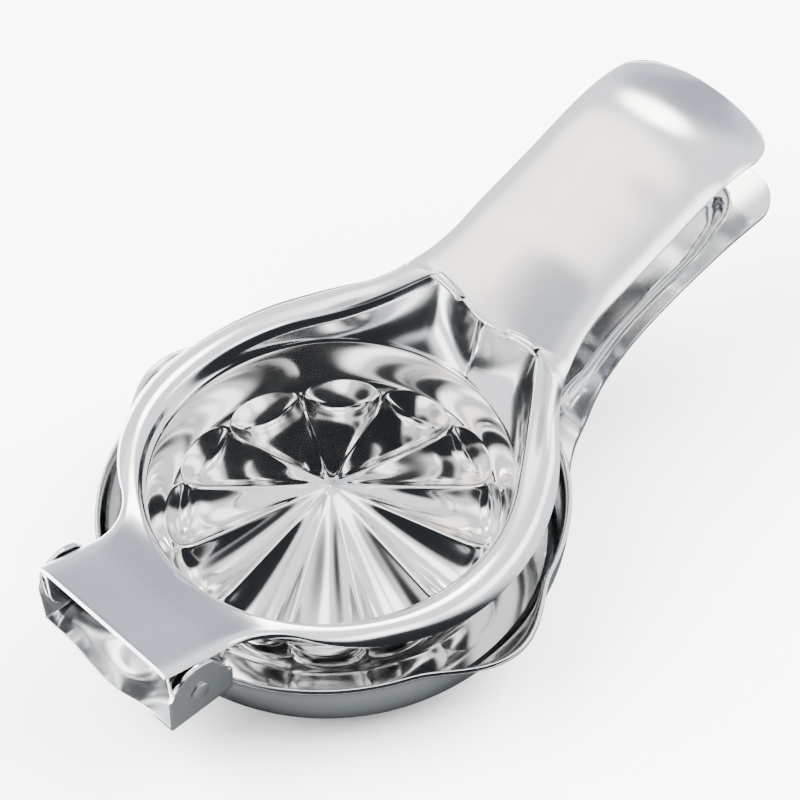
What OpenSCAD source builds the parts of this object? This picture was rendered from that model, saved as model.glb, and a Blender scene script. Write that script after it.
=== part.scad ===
// Hand citrus press: two hinged pressed-steel levers with a fluted press dish above a cup.
// Origin: centre of the cup's flat base. +X runs to the handle ends, +Z up.

/* [Ring and cup] */
// Height of the upper ring's top face above the table
ring_top = 30; // [29:0.5:31]
// Outer radius of the upper ring
ring_r = 41.5; // [41:0.25:42.5]
// Radius of the round hole in the upper ring
hole_r = 34; // [33:0.25:34.5]
// Outer radius of the lower cup at its rim
rim_r = 43; // [42.5:0.25:44]
// Height of the cup's rim above the table
rim_top = 20; // [19:0.25:20.5]
// Thickness of the pressed steel sheet
sheet = 1; // [0.8:0.1:1.1]

/* [Handles] */
// Half the width of each handle
handle_hw = 17.8; // [16:0.2:19]
// Distance from the cup's axis to the end of the upper handle
upper_end = 97.5; // [94:0.5:104]
// Distance from the cup's axis to the end of the lower handle
lower_end = 99.5; // [96:0.5:106]
// Slope of the upper lever's neck, in degrees
upper_neck_rise = 30; // [28:0.5:31]
// Slope of the upper handle, in degrees
upper_rise = 18.5; // [17:0.5:20]
// Slope of the lower lever's neck, in degrees
lower_neck_rise = 34; // [32:0.5:35]
// Slope of the lower handle, in degrees
lower_rise = 19; // [17:0.5:20]
// Radius of the hollow curve from ring to handle
neck_r = 25; // [22:1:28]
// Radius of the rounded corners at the handle ends
corner_r = 7; // [5:0.5:12]
// Depth of the turned-down edge of the upper lever
skirt = 3; // [2:0.5:3.5]
// Depth of the channel in the lower handle
trough_depth = 5; // [3:0.5:6]

/* [Recess] */
// Distance from the cup's axis to the end wall of the recess
recess_x = 40; // [38:0.5:42]
// Half the width of the recess at its end wall
recess_hw = 12.6; // [10:0.2:13]

/* [Flutes] */
// Number of flutes in the dishes
flutes = 12; // [8:1:14]
// Height of the centre of the dish below the ring
apex_drop = 4.5; // [3:0.5:6]
// Gap between the press dish and the reamer dish when closed
nest_gap = 1.2; // [0.8:0.1:1.5]

/* [Pouring lips] */
// How far each lip stands out from the cup's rim
lip_out = 5.8; // [4:0.2:7]
// Radius of a lip seen from above
lip_r = 17; // [14:0.5:19]

/* [Hinge] */
// Distance from the cup's axis to the hinge pin
pin_x = 47.1; // [46.8:0.1:47.6]
// Height of the hinge pin above the table
pin_z = 26; // [25.8:0.1:26.2]
// Radius of the hinge pin
pin_r = 1.6; // [1.4:0.05:1.8]
// Half the outer width across the lower lever's ears
ear_hw = 18.7; // [18.6:0.1:19]
// Rounded radius of the lower ears about the pin
ear_r = 6.4; // [6:0.1:6.5]

/* [Hidden] */
$fn = 64;

// Radial play of the pin in its holes
pin_play = 0.05;

// Side profiles: each bend of a sheet as [where it starts, its radius, degrees turned upwards]
end_dip = 8;
lower_end_rise = 3;
upper_bends = [[5, 58, upper_neck_rise],
               [41, 55, upper_rise - upper_neck_rise],
               [77, 35, -upper_rise - end_dip]];
lower_bends = [[36, 14, lower_neck_rise],
               [51, 40, lower_rise - lower_neck_rise],
               [66, 90, lower_end_rise - lower_rise]];
bend_steps = 6;
neck_wall_x = 28;
walls_start_x = 14;
tab_bend_x = -34;
tab_rise = 13;

// Hinge tabs
tab_hw = 17.3;
tab_end = -52.6;
lower_tab_end = -53.6;
skirt_start_x = -40;
tab_arc_r = 32.4;
tab_fillet_r = 14;
floor_top = pin_z - 6.4;
upper_ear_r = 5.1;
ear_rear_x = -38.6;
dimple_depth = 3.2;
dimple_hw = 11;
rivet_head_r = 2;
rivet_head_h = 0.4;

// Cup
cup_wall_r = 20;
cup_base_r = rim_r - cup_wall_r;
rim_bead_r = 0.9;
rim_mid_r = rim_r - sheet / 2;
lip_x = rim_r + lip_out - lip_r;
lip_drop = 4.5;

// Channel in the lower handle
trough_start = 48;
trough_end = lower_end - 11;
trough_hw = handle_hw - 4.5;
trough_corner_r = 9;

// Dishes
flange_start_r = hole_r + 0.3;
flange_r = 36.5;
dish_sheet = 0.8;
reamer_depth = 19.4;
reamer_play = 0.4;
reamer_level = rim_top - ring_top + reamer_depth + dish_sheet;
reamer_r = cup_base_r + sqrt(pow(cup_wall_r - sheet, 2) - pow(reamer_level, 2)) - reamer_play;
steps_per_flute = 8;
tall = 100;

// ---------- outlines seen from above ----------

function arc(cx, cy, r, a0, a1, n = 10) =
    [for (i = [0 : n]) let (a = a0 + (a1 - a0) * i / n) [cx + r * cos(a), cy + r * sin(a)]];

function mirrored(pts) = [for (i = [len(pts) - 1 : -1 : 0]) [pts[i][0], -pts[i][1]]];

// Handle side of a lever, from the ring's widest point to the handle's end corner
function handle_side(r, x_end, d) =
    let (f = neck_r + d, hw = handle_hw - d, rr = r - d,
         xc = sqrt(pow(rr + f, 2) - pow(hw + f, 2)), a = atan2(hw + f, xc))
    concat(arc(0, 0, rr, 90, a),
           arc(xc, hw + f, f, 180 + a, 270),
           arc(x_end - corner_r, hw - corner_r + d, corner_r - d, 90, 0, 6));

// Hinge side of the upper lever, from the tab's corner to the ring's widest point
function tab_side(d) =
    let (f = tab_fillet_r + d, hw = tab_hw - d, r = tab_arc_r - d, cy = ring_r - tab_arc_r,
         xc = sqrt(pow(r + f, 2) - pow(hw + f - cy, 2)), a = atan2(hw + f - cy, xc))
    concat([[tab_end, hw]],
           arc(-xc, hw + f, f, 270, 360 - a, 6),
           arc(0, cy, r, 180 - a, 90));

module upper_outline(d = 0) {
    half = concat(tab_side(d), handle_side(ring_r, upper_end - d, d));
    polygon(concat(half, mirrored(half)));
}

module lower_outline() {
    half = concat(arc(0, 0, rim_r, 180, 90, 16), handle_side(rim_r, lower_end, 0));
    polygon(concat(half, mirrored(half)));
}

// Round hole stretched towards the handle, grown outwards by d
module recess_outline(d = 0) {
    r = hole_r + d;
    x = recess_x + d;
    hw = recess_hw + d;
    a = atan2(hw, x) + acos(r / norm([x, hw]));
    polygon(concat(arc(0, 0, r, a, 360 - a, 48), [[x, -hw], [x, hw]]));
}

module trough_outline(d = 0) {
    half = concat(arc(trough_start + trough_corner_r, trough_hw - trough_corner_r,
                      trough_corner_r - d, 180, 90, 6),
                  arc(trough_end - trough_corner_r, trough_hw - trough_corner_r,
                      trough_corner_r - d, 90, 0, 6));
    polygon(concat(half, mirrored(half)));
}

// ---------- sheets that follow a side profile ----------

// Point at distance x along the straight stretch that leaves point p at a slope
function ahead(p, slope, x) = [x, p[1] + (x - p[0]) * tan(slope)];

// Bend that leaves point p at a slope and turns by some degrees
function bend(p, slope, r, turn) =
    let (way = turn > 0 ? r : -r)
    [for (i = [1 : bend_steps]) let (a = slope + turn * i / bend_steps)
     p + way * [sin(a) - sin(slope), cos(slope) - cos(a)]];

// Side profile from its first points through its bends to x_end
function profile(pts, bends, x_end, slope = 0, i = 0) =
    let (last = pts[len(pts) - 1])
    i == len(bends) ? concat(pts, [ahead(last, slope, x_end)]) :
    let (b = bends[i], start = ahead(last, slope, b[0]))
    profile(concat(pts, [start], bend(start, slope, b[1], b[2])), bends, x_end,
            slope + b[2], i + 1);

upper_profile = profile(
    [[tab_end, ring_top + (tab_bend_x - tab_end) * tan(tab_rise)], [tab_bend_x, ring_top]],
    upper_bends, upper_end);
lower_profile = profile([[-rim_r, rim_top]], lower_bends, lower_end);

function dropped(pts, dz) = [for (p = pts) [p[0], p[1] - dz]];
function reversed(pts) = [for (i = [len(pts) - 1 : -1 : 0]) pts[i]];

// Band between two depths below a profile, as wide as the whole part
module band(profile, from, to) {
    rotate([90, 0, 0]) linear_extrude(height = tall, center = true)
        polygon(concat(dropped(profile, from), reversed(dropped(profile, to))));
}

// Everything from height z up to a profile
module under(profile, z) {
    first = profile[0];
    last = profile[len(profile) - 1];
    rotate([90, 0, 0]) linear_extrude(height = tall, center = true)
        polygon(concat(profile, [[last[0], z], [first[0], z]]));
}

// ---------- upper lever ----------

module upper_sheet() {
    difference() {
        union() {
            intersection() {
                band(upper_profile, 0, sheet);
                linear_extrude(height = tall) upper_outline();
            }
            intersection() {
                band(upper_profile, 0, skirt);
                linear_extrude(height = tall) difference() {
                    upper_outline();
                    upper_outline(sheet);
                    translate([tab_end - 1, -tab_hw - 1])
                        square([skirt_start_x - tab_end + 1, 2 * tab_hw + 2]);
                }
            }
        }
        linear_extrude(height = tall) recess_outline();
    }
}

// Walls and ramp that join the raised neck to the ring's own level
module recess_walls() {
    step = ring_top - sheet;
    ramp_foot = [hole_r - 0.5, ring_top + 0.4];
    ramp_head = [recess_x, ring_top + 10];
    ramp_drop = 1.4 * sheet;
    intersection() {
        under(upper_profile, step);
        translate([walls_start_x, -tall / 2, 0]) cube(tall);
        linear_extrude(height = tall) difference() {
            recess_outline(sheet);
            recess_outline();
        }
    }
    intersection() {
        union() {
            rotate([90, 0, 0]) linear_extrude(height = tall, center = true)
                polygon([ramp_foot, ramp_head,
                         ramp_head - [0, ramp_drop], ramp_foot - [0, ramp_drop]]);
            translate([walls_start_x, -tall / 2, step])
                cube([ramp_foot[0] + 2 - walls_start_x, tall, sheet]);
        }
        linear_extrude(height = tall) difference() {
            recess_outline(sheet / 2);
            circle(hole_r + sheet / 2);
        }
    }
}

module upper_ears() {
    tilt_top = ring_top + (tab_bend_x - tab_end) * tan(tab_rise) - sheet / 2;
    rear_x = -41;
    rear_top = ring_top + (tab_bend_x - rear_x) * tan(tab_rise) - sheet / 2;
    r = upper_ear_r;
    for (s = [-1, 1]) translate([0, s * (tab_hw - sheet / 2), 0])
        rotate([90, 0, 0]) linear_extrude(height = sheet, center = true) difference() {
            union() {
                translate([-pin_x, pin_z]) circle(r);
                polygon([[tab_end, tilt_top], [rear_x, rear_top], [-pin_x + r, pin_z],
                         [-pin_x - r + 0.3, pin_z]]);
            }
            translate([-pin_x, pin_z]) circle(pin_r + pin_play);
        }
}

module upper_lever() {
    color("silver") {
        upper_sheet();
        recess_walls();
        upper_ears();
    }
}

// ---------- lower lever ----------

module cup() {
    rotate_extrude($fn = 128) {
        intersection() {
            translate([cup_base_r, cup_wall_r]) difference() {
                circle(cup_wall_r);
                circle(cup_wall_r - sheet);
            }
            translate([cup_base_r, 0]) square([cup_wall_r, rim_top]);
        }
        square([cup_base_r, sheet]);
    }
    translate([0, 0, rim_top]) rotate_extrude($fn = 128)
        translate([rim_mid_r, 0]) circle(rim_bead_r, $fn = 24);
}

// Solid that bounds one lip's gutter: above a cone that runs out from the cup's wall
module lip_space(drop, inset = 0) {
    intersection() {
        translate([0, -lip_x, 0]) cylinder(r = lip_r - inset, h = tall / 2);
        rotate_extrude($fn = 128)
            polygon([[0, rim_top - lip_drop - drop], [rim_r - 1.4, rim_top - lip_drop - drop],
                     [rim_r + lip_out + 1, rim_top - drop], [rim_r + lip_out + 1, tall / 4],
                     [0, tall / 4]]);
    }
}

// Gutter floor and its two low side walls
module lip() {
    top = rim_top + rim_bead_r / 2;
    difference() {
        lip_space(sheet);
        lip_space(0);
        cylinder(r = rim_mid_r, h = tall);
    }
    difference() {
        intersection() {
            lip_space(sheet);
            cylinder(r = rim_r + lip_out - 2, h = top, $fn = 128);
        }
        translate([0, -lip_x, 0]) cylinder(r = lip_r - sheet, h = tall);
        cylinder(r = rim_mid_r, h = tall);
    }
}

module lower_handle() {
    difference() {
        intersection() {
            band(lower_profile, 0, sheet);
            linear_extrude(height = tall) lower_outline();
        }
        cylinder(r = rim_mid_r, h = tall, $fn = 128);
        linear_extrude(height = tall) trough_outline();
    }
    intersection() {
        band(lower_profile, 0, trough_depth);
        linear_extrude(height = tall) difference() {
            trough_outline(-sheet);
            trough_outline();
        }
    }
    intersection() {
        band(lower_profile, trough_depth - sheet, trough_depth);
        linear_extrude(height = tall) trough_outline(-sheet);
    }
    // the cup's wall carried up to the rising neck
    intersection() {
        under(lower_profile, rim_top - sheet / 2);
        translate([neck_wall_x, -tall / 2, 0]) cube(tall);
        difference() {
            cylinder(r = rim_mid_r + 0.4 * sheet, h = tall, $fn = 128);
            cylinder(r = rim_mid_r - 0.6 * sheet, h = tall, $fn = 128);
        }
    }
}

// Floor between the ears, with a shallow trough pressed into it, and the two ears
module lower_hinge() {
    dimple_r = (dimple_hw * dimple_hw / dimple_depth + dimple_depth) / 2;
    dimple_z = floor_top - dimple_depth + dimple_r;
    length = ear_rear_x - lower_tab_end;
    difference() {
        union() {
            translate([lower_tab_end, -ear_hw, floor_top - sheet])
                cube([length, 2 * ear_hw, sheet]);
            intersection() {
                translate([lower_tab_end, 0, dimple_z]) rotate([0, 90, 0])
                    cylinder(r = dimple_r + sheet, h = length);
                translate([lower_tab_end, -ear_hw, 0]) cube([length, 2 * ear_hw, floor_top]);
            }
        }
        translate([lower_tab_end - 1, 0, dimple_z]) rotate([0, 90, 0])
            cylinder(r = dimple_r, h = length);
        cylinder(r = rim_mid_r, h = tall, $fn = 128);
    }
    for (s = [-1, 1]) translate([0, s * (ear_hw - sheet / 2), 0])
        rotate([90, 0, 0]) linear_extrude(height = sheet, center = true) difference() {
            union() {
                translate([-pin_x, pin_z]) circle(ear_r);
                polygon([[lower_tab_end, floor_top - sheet], [-pin_x - ear_r, pin_z],
                         [-pin_x + ear_r * cos(40), pin_z + ear_r * sin(40)],
                         [ear_rear_x, floor_top + 0.4], [ear_rear_x, floor_top - sheet]]);
            }
            translate([-pin_x, pin_z]) circle(pin_r + pin_play);
        }
}

module lower_lever() {
    color("lightgray") {
        difference() {
            cup();
            for (a = [0, 180]) rotate([0, 0, a]) lip_space(0, sheet / 2);
        }
        for (a = [0, 180]) rotate([0, 0, a]) lip();
        lower_handle();
        lower_hinge();
    }
}

module hinge_pin() {
    color("gainsboro") translate([-pin_x, 0, pin_z]) rotate([90, 0, 0]) {
        cylinder(r = pin_r, h = 2 * ear_hw, center = true);
        for (s = [-1, 1]) translate([0, 0, s * (ear_hw + rivet_head_h / 2)])
            cylinder(r = rivet_head_r, h = rivet_head_h, center = true);
    }
}

// ---------- fluted dishes ----------

// Section of the dish, from the centre outwards, along a ridge and along the middle of a flute:
// [radius, depth below the ring]
ridge_line = [[3, 5], [8, 6.5], [14, 8.4], [20, 10.4], [25, 12.1], [26.5, 12.6], [28.5, 12.4],
              [30.4, 11.4], [31.6, 8.5], [32.7, 4.5], [33.4, 1]];
flute_line = [[3, 5.1], [8, 7.6], [14, 11], [20, 14], [25, 16.1], [27.6, 15.8], [29.2, 13.6],
              [30.6, 11.4], [31.6, 8.5], [32.7, 4.5], [33.4, 1]];

// 0 on a ridge, 1 in the middle of a flute
function hollow(i) = let (u = 2 * (i % steps_per_flute) / steps_per_flute - 1) 1 - pow(abs(u), 2.2);

function blend(a, b, w) = [for (k = [0 : len(a) - 1]) a[k] + (b[k] - a[k]) * w];

// Section moved by t along its own normal, downwards and outwards
function shifted(line, t) =
    [for (k = [0 : len(line) - 1])
        let (p = line[max(k - 1, 0)], q = line[min(k + 1, len(line) - 1)],
             d = (q - p) / norm(q - p))
        line[k] + t * [-d[1], d[0]]];

// Closed fluted sheet of revolution between two families of sections
module fluted_sheet(top, bottom, apex_top, apex_bottom) {
    n = flutes * steps_per_flute;
    m = len(top[0]);
    function ring_pts(lines, k) = [for (i = [0 : n - 1]) let (p = lines[i][k], a = 360 * i / n)
        [p[0] * cos(a), p[0] * sin(a), ring_top - p[1]]];
    points = concat([for (k = [0 : m - 1]) each ring_pts(top, k)],
                    [for (k = [0 : m - 1]) each ring_pts(bottom, k)],
                    [[0, 0, ring_top - apex_top], [0, 0, ring_top - apex_bottom]]);
    function skin(base, k, up) = [for (i = [0 : n - 1]) let (j = (i + 1) % n,
        a = base + k * n + i, b = base + k * n + j, c = a + n, e = b + n)
        each up ? [[a, b, e], [a, e, c]] : [[a, e, b], [a, c, e]]];
    faces = concat(
        [for (i = [0 : n - 1]) [2 * m * n, (i + 1) % n, i]],
        [for (i = [0 : n - 1]) [2 * m * n + 1, m * n + i, m * n + (i + 1) % n]],
        [for (k = [0 : m - 2]) each skin(0, k, true)],
        [for (k = [0 : m - 2]) each skin(m * n, k, false)],
        [for (i = [0 : n - 1]) let (j = (i + 1) % n, a = (m - 1) * n, b = (2 * m - 1) * n)
            each [[a + i, a + j, b + j], [a + i, b + j, b + i]]]);
    polyhedron(points, faces);
}

// The first `count` points of every section, moved down by t, and then the same tail on each
function sections(count, t, tail) =
    [for (i = [0 : flutes * steps_per_flute - 1])
        let (line = [for (k = [0 : len(ridge_line) - 1])
                     blend(ridge_line[k], flute_line[k], hollow(i))],
             moved = shifted(line, t))
        concat([for (k = [0 : count - 1]) moved[k]], tail)];

module press_dish() {
    whole = len(ridge_line);
    tail = [[flange_start_r, sheet], [flange_r, sheet]];
    color("whitesmoke") fluted_sheet(sections(whole, 0, tail),
                                     sections(whole, dish_sheet, shifted(tail, dish_sheet)),
                                     apex_drop, apex_drop + dish_sheet);
}

// Same flutes, one gap lower, running out into a flat flange low in the cup
module reamer_dish() {
    lobes = 5;
    top = dish_sheet + nest_gap;
    bottom = top + dish_sheet;
    tail = [[29.3, reamer_depth - 0.8], [31.4, reamer_depth - 0.1], [34, reamer_depth],
            [reamer_r, reamer_depth]];
    color("whitesmoke") fluted_sheet(sections(lobes, top, tail),
                                     sections(lobes, bottom, shifted(tail, dish_sheet)),
                                     apex_drop + top, apex_drop + bottom);
}

lower_lever();
reamer_dish();
hinge_pin();
upper_lever();
press_dish();
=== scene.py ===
"""Looks of the citrus press juicer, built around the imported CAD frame.

All shapes are worked out in millimetres in the part's own frame (origin at the centre of the cup's
base, +X to the handle ends, +Z up) and scaled to metres when the mesh is made.
"""
import math

import bmesh
import bpy
import numpy as np
from mathutils import Matrix, Vector


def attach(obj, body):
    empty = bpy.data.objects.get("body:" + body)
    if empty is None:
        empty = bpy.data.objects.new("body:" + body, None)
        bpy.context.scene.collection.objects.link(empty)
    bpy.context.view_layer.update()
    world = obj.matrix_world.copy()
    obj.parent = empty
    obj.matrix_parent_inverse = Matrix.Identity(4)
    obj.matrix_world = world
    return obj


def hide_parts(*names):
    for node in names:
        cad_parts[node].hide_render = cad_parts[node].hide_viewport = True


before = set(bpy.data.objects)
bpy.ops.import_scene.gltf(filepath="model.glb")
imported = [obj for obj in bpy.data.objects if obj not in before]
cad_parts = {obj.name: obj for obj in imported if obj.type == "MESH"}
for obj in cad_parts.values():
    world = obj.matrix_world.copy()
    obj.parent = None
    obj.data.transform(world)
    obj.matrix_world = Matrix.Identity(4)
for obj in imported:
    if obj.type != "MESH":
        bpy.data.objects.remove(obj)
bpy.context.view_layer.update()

MM = 0.001

# ---------------------------------------------------------------- driving sizes, in millimetres
RING_TOP = 30.0
RING_R = 41.5
HOLE_R = 34.0
RIM_R = 43.0
RIM_TOP = 20.0
SHEET = 0.9
DISH_SHEET = 0.8

HANDLE_HW = 17.7
UPPER_END = 97.8
LOWER_END = 99.3
END_BOW = 1.2
NECK_R = 25.0
CORNER_R = 6.5

TAB_END = -52.8
TAB_HW = 17.3
TAB_ARC_R = 32.4
TAB_FILLET_R = 14.0

PIN_X = -47.1
PIN_Z = 26.0
PIN_R = 1.6
EAR_HW = 18.7
EAR_R = 6.6
INNER_EAR_R = 5.1
HINGE_FLOOR = 19.6

RECESS_X = 39.8
RECESS_HW = 12.6
RECESS_BOW = 1.8
RECESS_CORNER_R = 2.6

FLUTES = 12
# where the petals start to round off, where they end, and half the width of the ridge between two
PETAL_START = 24.0
PETAL_END = 30.5
RIDGE_HALF = 0.5
# how far the lower dish's flutes lie outside the upper dish's
DISH_SHIFT = 2.0

# heights added over the edge of the upper lever: handle crown, ring bead and hinge tab
CROWN_H = 1.85
BEAD_H = 1.9
BEAD_PEAK = 0.42
TAB_H = 0.8
# rolled edge of the hole: its drop and its width
ROLL_DROP = 0.75
ROLL_WIDTH = 1.3
# foot of the recess wall, inside the hole and below the ring's top
FOOT_IN = 0.8
FOOT_DROP = 2.1

LIP_OUT = 5.3
LIP_DROP = 0.5
LIP_HALF_ANGLE = 24
LIP_START = 12
RIM_EDGE = 20.85

TROUGH_END = 92.8
TROUGH_R = 7.0
TROUGH_SLOPE = 3.6
TROUGH_DEPTH = 5.0
TROUGH_HW = 12.6
TROUGH_WIDEN = 2.2
LOWER_CROWN = 0.5

PIN_PLAY = 0.05
DIMPLE_DEPTH = 3.2
DIMPLE_HW = 13


# ---------------------------------------------------------------- small curve and mesh kit
def arc(cx, cy, r, a0, a1, n=24):
    a = np.radians(np.linspace(a0, a1, n + 1))
    return np.stack([cx + r * np.cos(a), cy + r * np.sin(a)], 1)


def line(p, q, n=8):
    t = np.linspace(0, 1, n + 1)[:, None]
    return np.array(p) * (1 - t) + np.array(q) * t


def join(*parts):
    out = [parts[0]]
    for part in parts[1:]:
        out.append(part[1:] if np.allclose(part[0], out[-1][-1], atol=1e-6) else part)
    return np.concatenate(out)


def resample(curve, n):
    """n + 1 points along a polyline, evenly spaced by length."""
    step = np.linalg.norm(np.diff(curve, axis=0), axis=1)
    length = np.concatenate([[0], np.cumsum(step)])
    want = np.linspace(0, 1, n + 1) * length[-1]
    return np.stack([np.interp(want, length, curve[:, k]) for k in range(curve.shape[1])], 1)


def smooth(t):
    t = np.clip(t, 0, 1)
    return t * t * (3 - 2 * t)


def curve_through(xs, zs):
    """Smooth curve through a few heights (natural cubic spline), as a function."""
    xs, zs = np.array(xs, float), np.array(zs, float)
    n = len(xs)
    h = np.diff(xs)
    a = np.eye(n)
    b = np.zeros(n)
    for i in range(1, n - 1):
        a[i, i - 1:i + 2] = h[i - 1], 2 * (h[i - 1] + h[i]), h[i]
        b[i] = 6 * ((zs[i + 1] - zs[i]) / h[i] - (zs[i] - zs[i - 1]) / h[i - 1])
    m = np.linalg.solve(a, b)

    def value(x):
        x = np.asarray(x, float)
        i = np.clip(np.searchsorted(xs, x) - 1, 0, n - 2)
        u, v = xs[i + 1] - x, x - xs[i]
        return (m[i] * u ** 3 + m[i + 1] * v ** 3) / (6 * h[i]) + \
            (zs[i] / h[i] - m[i] * h[i] / 6) * u + (zs[i + 1] / h[i] - m[i + 1] * h[i] / 6) * v
    return value


def grid_faces(rows, cols, start=0, wrap=False):
    faces = []
    for i in range(rows - 1):
        for j in range(cols if wrap else cols - 1):
            k = (j + 1) % cols
            a = start + i * cols
            faces.append((a + j, a + k, a + cols + k, a + cols + j))
    return faces


def build(name, points, faces, material, weld=1e-5):
    """Mesh object in metres from points in millimetres."""
    mesh = bpy.data.meshes.new(name)
    mesh.from_pydata([tuple(p) for p in np.asarray(points, float) * MM], [], faces)
    obj = bpy.data.objects.new(name, mesh)
    bpy.context.scene.collection.objects.link(obj)
    bm = bmesh.new()
    bm.from_mesh(mesh)
    bmesh.ops.remove_doubles(bm, verts=bm.verts, dist=weld)
    loose = [v for v in bm.verts if not v.link_faces]
    bmesh.ops.delete(bm, geom=loose, context="VERTS")
    bmesh.ops.recalc_face_normals(bm, faces=bm.faces)
    bm.to_mesh(mesh)
    bm.free()
    mesh.materials.append(material)
    for polygon in mesh.polygons:
        polygon.use_smooth = True
    return obj


def face_up(obj, direction=(0, 0, 1)):
    """Turns the faces of an open sheet so that they look along a direction on the whole."""
    total = sum((p.normal * p.area for p in obj.data.polygons), Vector())
    if total.dot(Vector(direction)) < 0:
        obj.data.flip_normals()


def thicken(obj, thickness, offset=-1.0, edge=0.22):
    """Gives an open sheet its thickness below its face, with softened edges."""
    solid = obj.modifiers.new("thickness", "SOLIDIFY")
    solid.thickness = thickness * MM
    solid.offset = offset
    bevel = obj.modifiers.new("soft_edge", "BEVEL")
    bevel.width = edge * MM
    bevel.segments = 3
    bevel.limit_method = "ANGLE"
    bevel.angle_limit = math.radians(50)
    bpy.context.view_layer.update()
    graph = bpy.context.evaluated_depsgraph_get()
    done = bpy.data.meshes.new_from_object(obj.evaluated_get(graph))
    obj.modifiers.clear()
    obj.data = done
    for polygon in obj.data.polygons:
        polygon.use_smooth = True
    return obj


def pair_up(stretches):
    """Matching points on an inner and an outer curve, and the number of each one's stretch."""
    inner, outer, kind = [], [], []
    for k, (a, b, n) in enumerate(stretches):
        first = 0 if k == 0 else 1
        inner.append(resample(a, n)[first:])
        outer.append(resample(b, n)[first:])
        kind.append(np.full(n + 1 - first, k))
    return np.concatenate(inner), np.concatenate(outer), np.concatenate(kind)


def both_sides(half):
    """Half grid (rows, cols, 3) with y >= 0, and its mirror image, as points and faces."""
    rows, cols = half.shape[:2]
    other = half * np.array([1, -1, 1])
    points = np.concatenate([half.reshape(-1, 3), other.reshape(-1, 3)])
    faces = grid_faces(rows, cols)
    faces += [tuple(reversed(f)) for f in grid_faces(rows, cols, rows * cols)]
    return points, faces


# ---------------------------------------------------------------- materials
def steel(name, tint, roughness, grain, smudge):
    """Polished stainless sheet: fine polishing grain, slight ripple and smudges in its gloss."""
    material = bpy.data.materials.new(name)
    material.use_nodes = True
    nodes, links = material.node_tree.nodes, material.node_tree.links
    shader = nodes["Principled BSDF"]
    shader.inputs["Metallic"].default_value = 1.0
    shader.inputs["Specular IOR Level"].default_value = 0.5
    place = nodes.new("ShaderNodeTexCoord")

    stretch = nodes.new("ShaderNodeMapping")
    stretch.inputs["Scale"].default_value = (60, 2200, 1400)
    links.new(place.outputs["Object"], stretch.inputs["Vector"])
    lines = nodes.new("ShaderNodeTexNoise")
    lines.inputs["Scale"].default_value = 1.0
    lines.inputs["Detail"].default_value = 3.0
    links.new(stretch.outputs["Vector"], lines.inputs["Vector"])

    cloud = nodes.new("ShaderNodeTexNoise")
    cloud.inputs["Scale"].default_value = 55.0
    cloud.inputs["Detail"].default_value = 5.0
    links.new(place.outputs["Object"], cloud.inputs["Vector"])

    gloss = nodes.new("ShaderNodeMapRange")
    gloss.inputs["From Min"].default_value = 0.35
    gloss.inputs["From Max"].default_value = 0.75
    gloss.inputs["To Min"].default_value = roughness
    gloss.inputs["To Max"].default_value = roughness + smudge
    links.new(cloud.outputs["Fac"], gloss.inputs["Value"])
    links.new(gloss.outputs["Result"], shader.inputs["Roughness"])

    ramp = nodes.new("ShaderNodeValToRGB")
    ramp.color_ramp.elements[0].position = 0.3
    ramp.color_ramp.elements[1].position = 0.7
    ramp.color_ramp.elements[0].color = (*[c * 0.965 for c in tint], 1)
    ramp.color_ramp.elements[1].color = (*tint, 1)
    links.new(cloud.outputs["Fac"], ramp.inputs["Fac"])
    links.new(ramp.outputs["Color"], shader.inputs["Base Color"])

    ripple = nodes.new("ShaderNodeTexNoise")
    ripple.inputs["Scale"].default_value = 90.0
    ripple.inputs["Detail"].default_value = 1.0
    links.new(place.outputs["Object"], ripple.inputs["Vector"])
    wave = nodes.new("ShaderNodeBump")
    wave.inputs["Strength"].default_value = 0.25
    wave.inputs["Distance"].default_value = 0.00005
    links.new(ripple.outputs["Fac"], wave.inputs["Height"])
    scratch = nodes.new("ShaderNodeBump")
    scratch.inputs["Strength"].default_value = grain
    scratch.inputs["Distance"].default_value = 0.000004
    links.new(lines.outputs["Fac"], scratch.inputs["Height"])
    links.new(wave.outputs["Normal"], scratch.inputs["Normal"])
    links.new(scratch.outputs["Normal"], shader.inputs["Normal"])
    return material


LEVER_STEEL = steel("lever_steel", (0.80, 0.81, 0.82), 0.10, 0.25, 0.08)
DISH_STEEL = steel("dish_steel", (0.80, 0.79, 0.78), 0.07, 0.15, 0.06)
PIN_STEEL = steel("pin_steel", (0.62, 0.63, 0.64), 0.28, 0.6, 0.12)


# ---------------------------------------------------------------- outlines seen from above
def neck_tangent(r):
    """Centre of the hollow neck curve and the angle at which it meets a ring of radius r."""
    xc = math.sqrt((r + NECK_R) ** 2 - (HANDLE_HW + NECK_R) ** 2)
    return xc, math.degrees(math.atan2(HANDLE_HW + NECK_R, xc))


def tab_tangent():
    cy = RING_R - TAB_ARC_R
    xc = math.sqrt((TAB_ARC_R + TAB_FILLET_R) ** 2 - (TAB_HW + TAB_FILLET_R - cy) ** 2)
    return xc, cy, math.degrees(math.atan2(TAB_HW + TAB_FILLET_R - cy, xc))


def bowed(x, y, end):
    """Moves the last stretch of a handle out in the middle, so that its end is gently curved."""
    near_end = smooth((x - (end - 14)) / 14)
    return x - END_BOW * (y / HANDLE_HW) ** 2 * near_end


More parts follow.
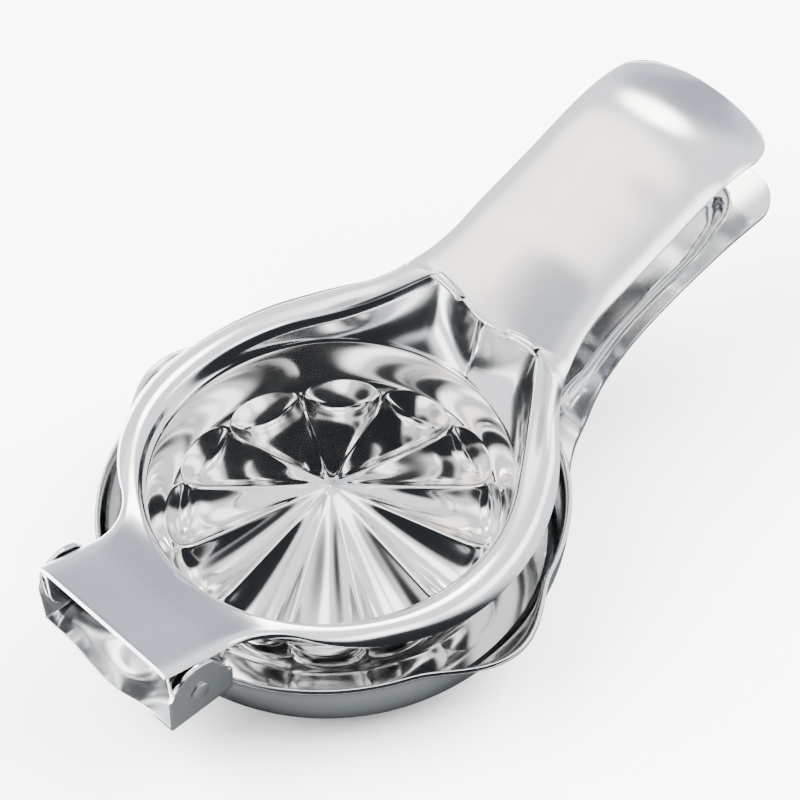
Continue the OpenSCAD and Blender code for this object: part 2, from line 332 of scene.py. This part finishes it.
def recess_curve():
    """Half of the hole's edge, from the end wall's middle round to the hinge side."""
    top = np.array([RECESS_X, RECESS_HW])
    reach = np.linalg.norm(top)
    touch = math.degrees(math.atan2(top[1], top[0]) + math.acos(HOLE_R / reach))
    t = np.radians(touch)
    side = np.array([HOLE_R * math.cos(t), HOLE_R * math.sin(t)])
    along = (side - top) / np.linalg.norm(side - top)
    corner = math.atan2(along[1], along[0]) % (2 * math.pi)
    turn = corner - math.pi / 2
    cut = RECESS_CORNER_R * math.tan(turn / 2)
    centre = top - [RECESS_CORNER_R, cut]
    end_wall = line((RECESS_X, 0), (RECESS_X, RECESS_HW - cut), 16)
    bow = RECESS_BOW * np.cos(end_wall[:, 1] / (RECESS_HW - cut) * math.pi / 2) ** 2
    end_wall[:, 0] -= bow
    rounded = arc(*centre, RECESS_CORNER_R, 0, math.degrees(turn), 10)
    flank = line(rounded[-1], side, 20)
    return end_wall, rounded, flank, touch


# ---------------------------------------------------------------- upper lever
# height of the outer edge along the length, and how far the middle stands above it
edge_z = curve_through(
    [-52, -44, -36, -25, -10, 3, 15, 20, 26, 30, 34, 38, 42, 46, 50, 54, 58, 62, 66, 70, 74, 78,
     82, 86, 90, 98],
    [33.6, 31.3, 29.3, 28.4, 28.2, 28.4, 29.6, 30.4, 31.8, 33.4, 35.6, 38.2, 40.3, 42.2, 44.0,
     45.6, 46.9, 48.1, 49.4, 50.7, 52.1, 53.4, 54.4, 54.9, 54.9, 54.1])


def upper_half():
    xc, neck = neck_tangent(RING_R)
    tx, cy, ta = tab_tangent()
    end_wall, rounded, flank, touch = recess_curve()

    corner = arc(UPPER_END - CORNER_R, HANDLE_HW - CORNER_R, CORNER_R, 0, 90)
    side = line(corner[-1], (xc, HANDLE_HW), 30)
    hollow = arc(xc, HANDLE_HW + NECK_R, NECK_R, 270, 180 + neck, 60)
    split_a, split_b = 22, 40
    ring_front = arc(0, 0, RING_R, neck, 90, 40)
    ring_back = arc(0, cy, TAB_ARC_R, 90, 180 - ta, 40)
    fillet = arc(-tx, TAB_HW + TAB_FILLET_R, TAB_FILLET_R, 360 - ta, 270, 24)
    tab_side = line((-tx, TAB_HW), (TAB_END, TAB_HW), 20)

    stretches = [
        (line((UPPER_END, 0), (corner[-1][0], 0)), corner, 16),
        (line((corner[-1][0], 0), (RECESS_X + 1, 0)), join(side, hollow[:split_a]), 60),
        (line((RECESS_X + 1, 0), (RECESS_X - RECESS_BOW, 0)), hollow[split_a - 1:split_a + 4], 5),
        (join(end_wall, rounded), hollow[split_a + 3:split_b], 16),
        (flank, join(hollow[split_b - 1:], ring_front[:10]), 26),
        (arc(0, 0, HOLE_R, touch, 90, 30), ring_front[9:], 24),
        (arc(0, 0, HOLE_R, 90, 148, 40), ring_back, 36),
        (arc(0, 0, HOLE_R, 148, 180, 30), join(fillet, tab_side[:6]), 26),
        (line((-HOLE_R, 0), (TAB_END, 0)), tab_side[5:], 22),
    ]
    return pair_up(stretches)


def upper_surface():
    inner, outer, kind = upper_half()
    s = np.linspace(0, 1, 33) ** 0.8
    plan = inner[:, None, :] * (1 - s)[None, :, None] + outer[:, None, :] * s[None, :, None]
    x, y = plan[..., 0], plan[..., 1]
    # share of handle, ring and tab in each row, changing smoothly along the length
    row_x = outer[:, 0]
    handle = smooth((row_x - 22) / 24)[:, None]
    tab = smooth((-14 - row_x) / 18)[:, None]
    ring = 1 - handle - tab
    v = s[None, :]
    crown = CROWN_H * (1 - 0.72 * v ** 2 - 0.28 * v ** 9)
    inside = np.clip((BEAD_PEAK - v) / BEAD_PEAK, 0, 1)
    outside = np.clip((v - BEAD_PEAK) / (1 - BEAD_PEAK), 0, 1)
    bead = BEAD_H * (1 - 0.45 * inside ** 2.2 - outside ** 2.4)
    flat = TAB_H * (1 - v ** 14)
    z = edge_z(x) + handle * crown + ring * bead + tab * flat
    # the hole and the recess have a softly rolled edge
    from_edge = v * np.linalg.norm(outer - inner, axis=1)[:, None]
    around = ((kind >= 3) & (kind <= 7))[:, None]
    z = z - around * ROLL_DROP * np.clip(1 - from_edge / ROLL_WIDTH, 0, 1) ** 2
    return np.stack([bowed(x, y, UPPER_END), y, z], -1), kind


def recess_wall(surface, kind):
    """Ramp and side walls from the lever's inner edge down to the dish's rim."""
    rim = surface[(kind >= 3) & (kind <= 7), 0]
    straight = int(((kind >= 3) & (kind <= 4)).sum())
    foot_r = HOLE_R - FOOT_IN
    polar = np.arctan2(rim[:, 1], rim[:, 0])
    # round the recess the foot is spread by length along the edge, so that its corners fan out
    step = np.linalg.norm(np.diff(rim[:straight, :2], axis=0), axis=1)
    length = np.concatenate([[0], np.cumsum(step)])
    polar[:straight] = length / length[-1] * polar[straight - 1]
    foot = np.stack([foot_r * np.cos(polar), foot_r * np.sin(polar),
                     np.full(len(rim), RING_TOP - FOOT_DROP)], 1)
    t = np.linspace(0, 1, 18)[None, :, None]
    out = rim[:, None] * (1 - t) + foot[:, None] * t
    # the wall drops a little faster than a straight slope at first, so it is gently hollow
    drop = rim[:, None, 2] - foot[:, None, 2]
    out[..., 2] -= 0.12 * drop * np.sin(math.pi * t[..., 0])
    return out


def make_upper_lever():
    surface, kind = upper_surface()
    points, faces = both_sides(surface)
    wall = recess_wall(surface, kind)
    wall_points, wall_faces = both_sides(wall)
    faces += [tuple(i + len(points) for i in f) for f in wall_faces]
    points = np.concatenate([points, wall_points])
    obj = build("upper_lever_shell", points, faces, LEVER_STEEL)
    face_up(obj)
    thicken(obj, SHEET)
    return obj


# ---------------------------------------------------------------- ears
def plate(name, outline, y, thickness, material, hole=None):
    """Flat upright plate with softened edges; outline is (x, z) points, hole is (x, z, r)."""
    bm = bmesh.new()

    def ring(pts):
        verts = [bm.verts.new((p[0] * MM, y * MM, p[1] * MM)) for p in pts]
        return [bm.edges.new((verts[i], verts[(i + 1) % len(verts)])) for i in range(len(verts))]

    edges = ring(outline)
    if hole:
        edges += ring(arc(hole[0], hole[1], hole[2], 0, 360, 24)[:-1])
    bmesh.ops.triangle_fill(bm, edges=edges, use_beauty=True)
    mesh = bpy.data.meshes.new(name)
    bm.to_mesh(mesh)
    bm.free()
    obj = bpy.data.objects.new(name, mesh)
    bpy.context.scene.collection.objects.link(obj)
    mesh.materials.append(material)
    thicken(obj, thickness, offset=0.0, edge=0.2)
    for polygon in obj.data.polygons:
        polygon.use_smooth = False
    return obj


def make_upper_ears():
    """The two flaps of the tab that turn down round the pin, just inside the lower ears."""
    r, rear = INNER_EAR_R, -41.5
    y = TAB_HW - SHEET / 2
    top = [(x, edge_z(x) - 0.1) for x in np.linspace(TAB_END + 0.4, rear, 8)]
    low = arc(PIN_X, PIN_Z, r, 360, 180, 20)
    outline = top + [(PIN_X + r + 1.2, PIN_Z + 2.0)] + [tuple(p) for p in low]
    return [plate(f"upper_ear_{side}", outline, sign * y, SHEET, LEVER_STEEL,
                  (PIN_X, PIN_Z, PIN_R + PIN_PLAY))
            for side, sign in (("left", 1), ("right", -1))]


# ---------------------------------------------------------------- lower lever
lower_z = curve_through(
    [20, 30, 36, 41, 45.4, 47.2, 49.3, 52.5, 55, 59, 63.3, 69, 76, 82, 86, 92, 99.5],
    [20.0, 19.9, 20.1, 20.8, 22.3, 23.9, 25.7, 28.0, 29.6, 31.8, 33.5, 35.3, 37.0, 38.2, 38.8,
     39.3, 39.7])


def lip_bump(theta):
    """1 in the middle of a pouring lip at +Y and -Y, 0 away from it."""
    away = np.abs(np.abs(np.degrees(theta)) - 90)
    return np.cos(np.clip(away / LIP_HALF_ANGLE, 0, 1) * math.pi / 2) ** 2


def make_cup():
    n = 192
    theta = np.linspace(-math.pi, math.pi, n, endpoint=False)
    base_r = RIM_R - RIM_TOP
    bowl = arc(base_r, RIM_TOP, RIM_TOP, 278, 360, 30)
    profile = join(line((0.8, 0.0), (base_r - 3, 0.0), 8), bowl)
    edge = np.array([[43.15, 20.5], [43.45, RIM_EDGE]])
    profile = np.concatenate([profile, edge])
    r = np.repeat(profile[:, :1], n, 1)
    z = np.repeat(profile[:, 1:], n, 1)
    bump = lip_bump(theta)[None, :]
    lift = np.clip((z - LIP_START) / (RIM_EDGE - LIP_START), 0, 1)
    r = r + bump * LIP_OUT * lift ** 1.7
    z = z - bump * LIP_DROP * lift
    points = np.stack([r * np.cos(theta), r * np.sin(theta), z], -1).reshape(-1, 3)
    faces = grid_faces(len(profile), n, wrap=True)
    faces.append(tuple(range(n)))
    obj = build("lower_cup", points, faces, LEVER_STEEL)
    face_up(obj, (0, 0, -1))
    thicken(obj, SHEET)
    return obj


def make_lower_handle():
    xc, neck = neck_tangent(RIM_R)
    corner = arc(LOWER_END - CORNER_R, HANDLE_HW - CORNER_R, CORNER_R, 0, 90)
    side = line(corner[-1], (xc, HANDLE_HW), 30)
    hollow = arc(xc, HANDLE_HW + NECK_R, NECK_R, 270, 180 + neck, 60)
    inner_r = RIM_R - 0.45
    stretches = [
        (line((LOWER_END, 0), (corner[-1][0], 0)), corner, 16),
        (line((corner[-1][0], 0), (RIM_R + 4, 0)), join(side, hollow[:14]), 50),
        (line((RIM_R + 4, 0), (inner_r, 0)), hollow[13:20], 6),
        (arc(0, 0, inner_r, 0, neck + 6, 40),
         join(hollow[19:], arc(0, 0, RIM_R, neck, neck + 6, 8)), 30),
    ]
    inner, outer, _ = pair_up(stretches)
    s = np.linspace(0, 1, 27)
    plan = inner[:, None] * (1 - s)[None, :, None] + outer[:, None] * s[None, :, None]
    x, y = plan[..., 0], plan[..., 1]
    half_width = TROUGH_HW + TROUGH_WIDEN * smooth((89 - x) / 12)
    past_x = np.clip(x - (TROUGH_END - TROUGH_R), 0, None)
    past_y = np.clip(np.abs(y) - (half_width - TROUGH_R), 0, None)
    inward = TROUGH_R - np.hypot(past_x, past_y)
    trough = smooth(inward / TROUGH_SLOPE) * smooth((x - 42) / 12)
    crown = LOWER_CROWN * (1 - (y / HANDLE_HW) ** 6) * smooth((x - 45) / 15)
    z = lower_z(x) + crown - LOWER_CROWN - TROUGH_DEPTH * trough
    points, faces = both_sides(np.stack([bowed(x, y, LOWER_END), y, z], -1))
    obj = build("lower_handle", points, faces, LEVER_STEEL)
    face_up(obj)
    thicken(obj, SHEET)
    return obj


def ear_top(x):
    """Height of the lower ears' edge: round about the pin, then sloping down to the cup's rim."""
    inside = np.clip(EAR_R ** 2 - (x - PIN_X) ** 2, 0, None)
    ear = PIN_Z + np.sqrt(inside)
    slope = PIN_Z + 5.0 - (x - (PIN_X + 3.8)) * 1.5
    return np.minimum(ear, slope) if x > PIN_X else ear


def make_hinge_floor():
    """Channel between the lower ears, with its pressed dimple, folded up into the two ears."""
    front, rear, bend, lean = PIN_X - 6.35, -39.6, 1.3, 0.5
    rows = []
    for x in np.concatenate([np.linspace(front, front + 1.5, 9)[:-1],
                             np.linspace(front + 1.5, rear, 30)]):
        top = max(float(ear_top(x)), HINGE_FLOOR + 1.2)
        out = EAR_HW + lean * (top - HINGE_FLOOR) / 13
        base = HINGE_FLOOR - 0.4
        wall = line((out - 0.4, top), (EAR_HW - 0.7, base + bend), 16)
        turn = arc(EAR_HW - 0.7 - bend, base + bend, bend, 0, -90, 6)
        flat = line((EAR_HW - 0.7 - bend, base), (0, base), 28)
        section = join(wall, turn, flat)
        yy, zz = section[:, 0], section[:, 1]
        ahead = smooth((-41.5 - x) / 9)
        dip = DIMPLE_DEPTH * ahead * np.cos(np.clip(yy / DIMPLE_HW, 0, 1) * math.pi / 2) ** 2
        rows.append(np.stack([np.full(len(yy), x), yy, zz - dip], 1))
    points, faces = both_sides(np.array(rows))
    obj = build("lower_hinge_channel", points, faces, LEVER_STEEL)
    face_up(obj, (0, 0, -1))
    thicken(obj, SHEET)
    return obj


# ---------------------------------------------------------------- fluted dishes
def dish_lines():
    """Section points (radius, depth) along a ridge, and the extra depth of a flute's middle."""
    ridge = np.array([[0.0, 4.4], [1.5, 4.55], [3, 4.95], [8, 6.5], [14, 8.5], [20, 10.5],
                      [25, 12.0], [27.2, 12.3], [29.0, 12.0], [30.4, 10.8], [31.5, 8.2],
                      [32.5, 4.8], [33.1, 2.9]])
    flute = curve_through([0, 3, 8, 14, 20, 25, 28, 34], [0, 0.2, 1.0, 2.2, 3.3, 4.1, 4.5, 4.6])
    return ridge, flute


def smooth_line(points, n):
    """Even smooth curve through section points, parameterised by their own index."""
    k = np.arange(len(points))
    want = np.linspace(0, len(points) - 1, n)
    return np.stack([curve_through(k, points[:, 0])(want), curve_through(k, points[:, 1])(want)], 1)


def fluted(name, shift, tail, count):
    """Round dish with rounded petals pressed into it, shifted outwards for the dish below."""
    per_flute, steps = 44, 165
    n = per_flute * FLUTES
    ridge, flute = dish_lines()
    ridge = smooth_line(ridge[:count], steps)
    index = np.arange(n)
    u = np.abs(2 * (index % per_flute) / per_flute - 1)[None, :]
    r = ridge[:, :1]
    soft = np.minimum(0.5, RIDGE_HALF / (math.pi / FLUTES * np.maximum(r, 1e-3)))
    across = 1 - np.sqrt((1 - u) ** 2 + soft ** 2) + soft
    across = across * (1 - soft * 0.5)
    outward = np.clip((r - PETAL_START) / (PETAL_END - PETAL_START), 0, None)
    room = 1 - across ** 2.4 - outward ** 8
    hollow = (0.5 * (room + np.sqrt(room ** 2 + 0.02 ** 2))) ** 0.8 * flute(r)
    section = np.stack([np.repeat(r, n, 1), ridge[:, 1:] + hollow], -1)
    if shift:
        along = np.gradient(section, axis=0)
        along /= np.linalg.norm(along, axis=-1, keepdims=True) + 1e-9
        section = section + shift * np.stack([-along[..., 1], along[..., 0]], -1)
        section[0, :, 0] = 0
    extra = np.array(tail, float)
    extra = smooth_line(np.concatenate([section[-2:].mean(1), extra]), 24)[6:]
    section = np.concatenate([section[:-1], np.repeat(extra[:, None], n, 1)])
    a = 2 * math.pi * index / n
    r, depth = section[1:, :, 0], section[1:, :, 1]
    points = np.stack([r * np.cos(a), r * np.sin(a), RING_TOP - depth], -1).reshape(-1, 3)
    faces = grid_faces(len(r), n, wrap=True)
    faces.append(tuple(reversed(range(n))))
    obj = build(name, points, faces, DISH_STEEL, weld=1e-7)
    face_up(obj)
    thicken(obj, DISH_SHEET)
    return obj


def make_press_dish():
    return fluted("press_dish_shell", 0.0, [[33.8, 2.1], [34.8, 1.95], [36.3, 1.95]], 13)


def make_reamer_dish():
    return fluted("reamer_dish_shell", DISH_SHIFT, [[29.3, 18.6], [31.4, 19.3], [34, 19.4], [36.5, 19.4],
                                                    [38.5, 19.4]], 7)


# ---------------------------------------------------------------- hinge pin
def make_pin():
    face = EAR_HW + 0.05
    half = np.array([[0.0, face + 0.3], [0.9, face + 0.28], [1.5, face + 0.18],
                     [1.8, face + 0.05], [1.85, face - 0.1], [PIN_R, face - 0.1],
                     [PIN_R, 9.0], [PIN_R, 0.0]])
    profile = np.concatenate([half, (half[:-1] * [1, -1])[::-1]])
    n = 48
    a = np.linspace(0, 2 * math.pi, n, endpoint=False)
    points = []
    for r, y in profile:
        rr = max(r, 0.02)
        points += [(PIN_X + rr * math.cos(t), y, PIN_Z + rr * math.sin(t)) for t in a]
    faces = grid_faces(len(profile), n, wrap=True)
    faces += [tuple(range(n)), tuple(reversed(range(n * (len(profile) - 1), n * len(profile))))]
    return build("hinge_rivet", points, faces, PIN_STEEL, weld=1e-7)


upper = [make_upper_lever()] + make_upper_ears()
lower = [make_cup(), make_lower_handle(), make_hinge_floor()]
press = make_press_dish()
reamer = make_reamer_dish()
pin = make_pin()

for pieces, body, node, slot in ((upper, "upper", "upper_lever", "lever_steel"),
                                 (lower, "lower", "lower_lever", "lever_steel"),
                                 ([press], "upper", "press_dish", "dish_steel"),
                                 ([reamer], "lower", "reamer_dish", "dish_steel"),
                                 ([pin], "lower", "hinge_pin", "pin_steel")):
    for piece in pieces:
        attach(piece, body)
        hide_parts(node)


# ---------------------------------------------------------------- floor, light and camera
FLOOR_REACH = 3.0
FLOOR_COLOUR = (0.95, 0.95, 0.95, 1)
# painted shade: a dark sheet that only the steel's reflections see, standing in for the floor shadowed
# near the object
PAINTED_SHADE_LEVEL = 0.3 * MM
PAINTED_SHADE_COLOUR = (0.035, 0.038, 0.04, 1)
PAINTED_SHADE_OUTLINE = [(-0.4, -0.5), (0.4, -0.5), (0.4, 0.3), (0.04, 0.3), (0.04, 0.0), (-0.4, 0.0)]
TENT_COLOUR = (1.85, 1.88, 1.95, 1)
LAMP_SIZE = 1.6
LAMP_ENERGY = 190


def level_sheet(name, outline, level, colour):
    """Matt level sheet; outline and level are in metres."""
    mesh = bpy.data.meshes.new(name)
    mesh.from_pydata([(x, y, level) for x, y in outline], [], [tuple(range(len(outline)))])
    sheet = bpy.data.objects.new(name, mesh)
    bpy.context.scene.collection.objects.link(sheet)
    material = bpy.data.materials.new(name)
    material.use_nodes = True
    shader = material.node_tree.nodes["Principled BSDF"]
    shader.inputs["Base Color"].default_value = colour
    shader.inputs["Roughness"].default_value = 0.9
    mesh.materials.append(material)
    return sheet


def make_floor():
    reach = FLOOR_REACH
    outline = [(-reach, -reach), (reach, -reach), (reach, reach), (-reach, reach)]
    level_sheet("floor", outline, 0, FLOOR_COLOUR)


def make_painted_shade_card():
    """Dark sheet just above the floor, seen by glossy rays only: painted shade in the steel's
    reflections, standing in for the floor shadowed near the object. It has hard edges.
    """
    painted_shade_card = level_sheet("painted_shade_card", PAINTED_SHADE_OUTLINE, PAINTED_SHADE_LEVEL, PAINTED_SHADE_COLOUR)
    painted_shade_card.visible_camera = False
    painted_shade_card.visible_diffuse = False
    painted_shade_card.visible_shadow = False


def toward(azimuth, elevation):
    a, e = math.radians(azimuth), math.radians(elevation)
    return (math.cos(a) * math.cos(e), math.sin(a) * math.cos(e), math.sin(e))


# bright and dark patches of the tent, set to suit the main view: azimuth and elevation,
# angle of the even core, angle where it has faded, and colour
ROOM = [
    ((103, 55), 5, 21, (4.6, 4.1, 3.7)),
    ((-110, 80), 4, 18, (5.5, 5.5, 5.5)),
    ((-31, 61), 3, 15, (5.5, 5.5, 5.5)),
    ((126, 62), 3, 13, (1.0, 1.05, 1.15)),
    ((36, 26), 12, 28, (1.2, 1.32, 1.48)),
    ((41, 37), 4, 14, (0.7, 0.76, 0.88)),
    ((-115, 12), 50, 62, (0.03, 0.036, 0.042)),
    ((170, 44), 9, 22, (0.05, 0.055, 0.06)),
    ((182, 8), 10, 20, (0.05, 0.055, 0.06)),
    ((157, 14), 3, 8, (6.0, 6.0, 6.0)),
    ((56, 49), 0, 9, (14.0, 13.6, 12.2)),
]


def make_world():
    """Pale tent round the product, with the patches laid over it one after another."""
    world = bpy.data.worlds.new("studio")
    world.use_nodes = True
    nodes, links = world.node_tree.nodes, world.node_tree.links
    place = nodes.new("ShaderNodeTexCoord")
    tent = nodes.new("ShaderNodeRGB")
    tent.outputs[0].default_value = TENT_COLOUR
    colour = tent.outputs[0]
    for where, core, faded, shade in ROOM:
        facing = nodes.new("ShaderNodeVectorMath")
        facing.operation = "DOT_PRODUCT"
        facing.inputs[1].default_value = toward(*where)
        links.new(place.outputs["Generated"], facing.inputs[0])
        share = nodes.new("ShaderNodeMapRange")
        share.interpolation_type = "SMOOTHSTEP"
        share.inputs["From Min"].default_value = math.cos(math.radians(faded))
        share.inputs["From Max"].default_value = math.cos(math.radians(core))
        links.new(facing.outputs["Value"], share.inputs["Value"])
        mix = nodes.new("ShaderNodeMix")
        mix.data_type = "RGBA"
        mix.inputs["B"].default_value = (*shade, 1)
        links.new(share.outputs["Result"], mix.inputs["Factor"])
        links.new(colour, mix.inputs["A"])
        colour = mix.outputs["Result"]
    links.new(colour, nodes["Background"].inputs["Color"])
    nodes["Background"].inputs["Strength"].default_value = 1.0
    bpy.context.scene.world = world


def floor_light(name, position):
    """Large soft lamp that whitens the floor and is left out of reflections."""
    data = bpy.data.lights.new(name, "AREA")
    data.shape = "RECTANGLE"
    data.size, data.size_y = LAMP_SIZE, LAMP_SIZE
    data.energy = LAMP_ENERGY
    light = bpy.data.objects.new(name, data)
    bpy.context.scene.collection.objects.link(light)
    light.location = position
    light.rotation_euler = (-Vector(position)).to_track_quat("-Z", "Y").to_euler()
    light.visible_glossy = False


CAM_AZIMUTH = -38.64
CAM_ELEVATION = 49.3
CAM_ROLL = -5.09
CAM_DISTANCE = 822.2
CAM_TARGET = (20.15, 3.12, RING_TOP)
CAM_LENS = 204.0
CAM_SENSOR = 36.0


def make_camera():
    a, e, r = map(math.radians, (CAM_AZIMUTH, CAM_ELEVATION, CAM_ROLL))
    right = Vector((math.cos(a), math.sin(a), 0))
    back = Vector((math.sin(a) * math.cos(e), -math.cos(a) * math.cos(e), math.sin(e)))
    up = back.cross(right)
    across = right * math.cos(r) + up * math.sin(r)
    upward = up * math.cos(r) - right * math.sin(r)
    data = bpy.data.cameras.new("camera")
    data.lens = CAM_LENS
    data.sensor_width = CAM_SENSOR
    camera = bpy.data.objects.new("camera", data)
    bpy.context.scene.collection.objects.link(camera)
    turn = Matrix((across, upward, back)).transposed().to_4x4()
    place = (Vector(CAM_TARGET) + back * CAM_DISTANCE) * MM
    camera.matrix_world = Matrix.Translation(place) @ turn
    bpy.context.scene.camera = camera


make_floor()
# dark sheet of painted shade, seen only in the steel's reflections
make_painted_shade_card()
make_world()
floor_light("floor_left", (-0.9, 0.5, 1.3))
floor_light("floor_right", (0.9, -0.6, 1.3))
make_camera()
